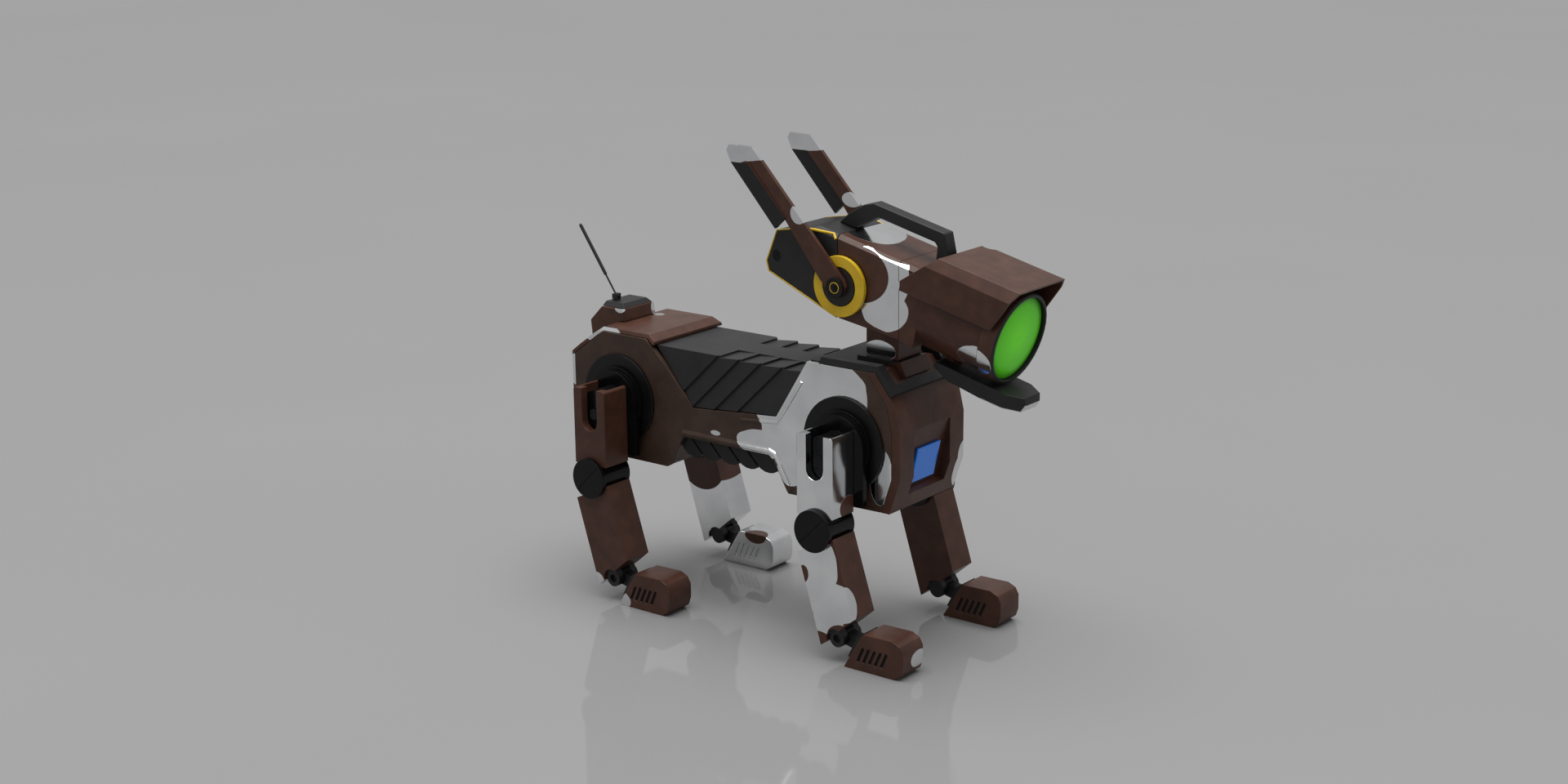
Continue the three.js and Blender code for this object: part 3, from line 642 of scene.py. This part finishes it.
def is_bezel_wall(place, normal):
    """The outer wall of the lens bezel, which is painted like the barrel behind it."""
    inside = HEAD.inverted() @ (place * MM)
    across = HEAD.to_3x3().inverted() @ normal
    return Vector((0, inside.y, inside.z)).dot(across) > 0 and abs(across.x) < 0.3


def side_matrix(joint, side):
    """The frame of a joint's axis, with z pointing out of the dog."""
    place = Vector(JOINTS[f"{joint}_{side}"]["pos_m"])
    return Matrix.Translation((place.x, 0, place.z)) @ outward(side)


def outward(side):
    """The turn that points z out of one side of the dog."""
    return Matrix.Rotation(-SIDES[side] * math.pi / 2, 4, "X")


def ear_hub(side):
    """Stepped rings on the ear's boss: black, a thin yellow ring, and a domed black centre."""
    matrix = side_matrix("ear_tilt", side)
    body = f"ear_arm_{side}"
    face = EAR_BOSS_FACE
    rings = [
        (10.4, face - 2), (10.4, face + 0.4), (8.6, face + 0.4), (8.2, face + 0.1),
        (0.1, face + 0.1),
    ]
    turned(f"ear_hub_{side}", matrix, rings, ANODISED, body)
    band = [(5.7, face - 0.5), (5.7, face + 0.6), (4.9, face + 0.6), (4.9, face - 0.5)]
    turned(f"ear_hub_band_{side}", matrix, band, YELLOW, body)
    dome = [
        (4.4, face - 0.5), (4.4, face + 0.3), (3.4, face + 1.0), (1.6, face + 1.3),
        (0.1, face + 1.3),
    ]
    turned(f"ear_hub_centre_{side}", matrix, dome, TRIM_GLOSS, body)


def housing_dimple(side):
    """A shallow oval disc low on the rear housing's flank."""
    x, y, z = HOUSING_DIMPLE
    place = HEAD @ (Vector((x, SIDES[side] * y, z)) * MM)
    matrix = Matrix.Translation(place) @ outward(side)
    matrix = matrix @ Matrix.Diagonal((0.78, 1, 1, 1))
    profile = [(6.2, -0.5), (6.2, 0.3), (5.2, 0.5), (4.8, 0.2), (0.1, 0.2)]
    turned(f"housing_dimple_{side}", matrix, profile, TRIM_GLOSS, "head")


def housing_trim(side):
    """The yellow line round the rear housing's flank, thicker along its top edge."""
    def points(outline):
        """The outline on the flank, which leans in above its upper edge."""
        reach = [HOUSING_FLANK_Y - HOUSING_LEAN * max(0, z - HOUSING_LEAN_Z) for x, z in outline]
        return [HEAD @ (Vector((x, SIDES[side] * y, z)) * MM) for (x, z), y in zip(outline, reach)]

    line = [(-57, 40.8), (-89.4, 26.8), (-94.6, -8), (-89.6, -17.6), (-24, -28.8), (2.4, -33.0)]
    tube(f"housing_line_{side}", points(line), 0.8, YELLOW, "head")
    edge = [(-57, 40.6), (-43, 43.8), (-23, 46.6), (-17.6, 43.6)]
    tube(f"housing_edge_{side}", points(edge), 1.5, YELLOW, "head")


# ---------------------------------------------------------------- stage

def add_camera():
    """The camera, turned about its line of sight by CAMERA_ROLL."""
    data = bpy.data.cameras.new("camera")
    data.lens = CAMERA_LENS
    data.sensor_width = CAMERA_SENSOR
    camera = bpy.data.objects.new("camera", data)
    level = math.cos(CAMERA_HEIGHT_ANGLE)
    away = Vector((
        level * math.sin(CAMERA_AZIMUTH),
        -level * math.cos(CAMERA_AZIMUTH),
        math.sin(CAMERA_HEIGHT_ANGLE),
    ))
    camera.location = Vector(CAMERA_AIM) + CAMERA_DISTANCE * away
    camera.rotation_mode = "QUATERNION"
    roll = Quaternion((0, 0, 1), -CAMERA_ROLL)
    camera.rotation_quaternion = (-away).to_track_quat("-Z", "Y") @ roll
    bpy.context.scene.collection.objects.link(camera)
    bpy.context.scene.camera = camera


def add_floor():
    """A plain pale floor with a faint reflection."""
    bm = bmesh.new()
    bmesh.ops.create_grid(bm, x_segments=1, y_segments=1, size=FLOOR_HALF)
    mesh = bpy.data.meshes.new("floor")
    bm.to_mesh(mesh)
    bm.free()
    paint = Paint("floor_grey")
    dark, light = linear(134, 134, 134), linear(136, 136, 136)
    grey = paint.steps(paint.noise(1.2, 2.0), (0.3, dark), (0.7, light))
    paint.set(Base_Color=grey, Roughness=0.05, IOR=FLOOR_IOR)
    mesh.materials.append(paint.material)
    floor = bpy.data.objects.new("floor", mesh)
    bpy.context.scene.collection.objects.link(floor)


def light_studio():
    """A soft grey room that is brighter overhead, and one broad light from above."""
    world = bpy.data.worlds.new("studio")
    bpy.context.scene.world = world
    world.use_nodes = True
    tree = world.node_tree
    direction = tree.nodes.new("ShaderNodeTexCoord").outputs["Generated"]
    height = tree.nodes.new("ShaderNodeSeparateXYZ")
    tree.links.new(direction, height.inputs[0])
    rise = tree.nodes.new("ShaderNodeMapRange")
    rise.interpolation_type = "SMOOTHSTEP"
    rise.inputs["From Min"].default_value = math.sin(ROOM_RISE[0])
    rise.inputs["From Max"].default_value = math.sin(ROOM_RISE[1])
    rise.inputs["To Min"].default_value = ROOM_LOW
    rise.inputs["To Max"].default_value = ROOM_HIGH
    tree.links.new(height.outputs["Z"], rise.inputs["Value"])
    tree.links.new(rise.outputs["Result"], tree.nodes["Background"].inputs["Strength"])
    tree.nodes["Background"].inputs["Color"].default_value = (1, 1, 1, 1)
    data = bpy.data.lights.new("overhead", "SUN")
    data.angle = OVERHEAD_SPREAD
    data.energy = OVERHEAD
    bpy.context.scene.collection.objects.link(bpy.data.objects.new("overhead", data))
    bpy.context.scene.view_settings.view_transform = "Standard"


dress_body()
for leg in LEGS:
    dress_leg(leg)
dress_head()
add_camera()
add_floor()
light_studio()
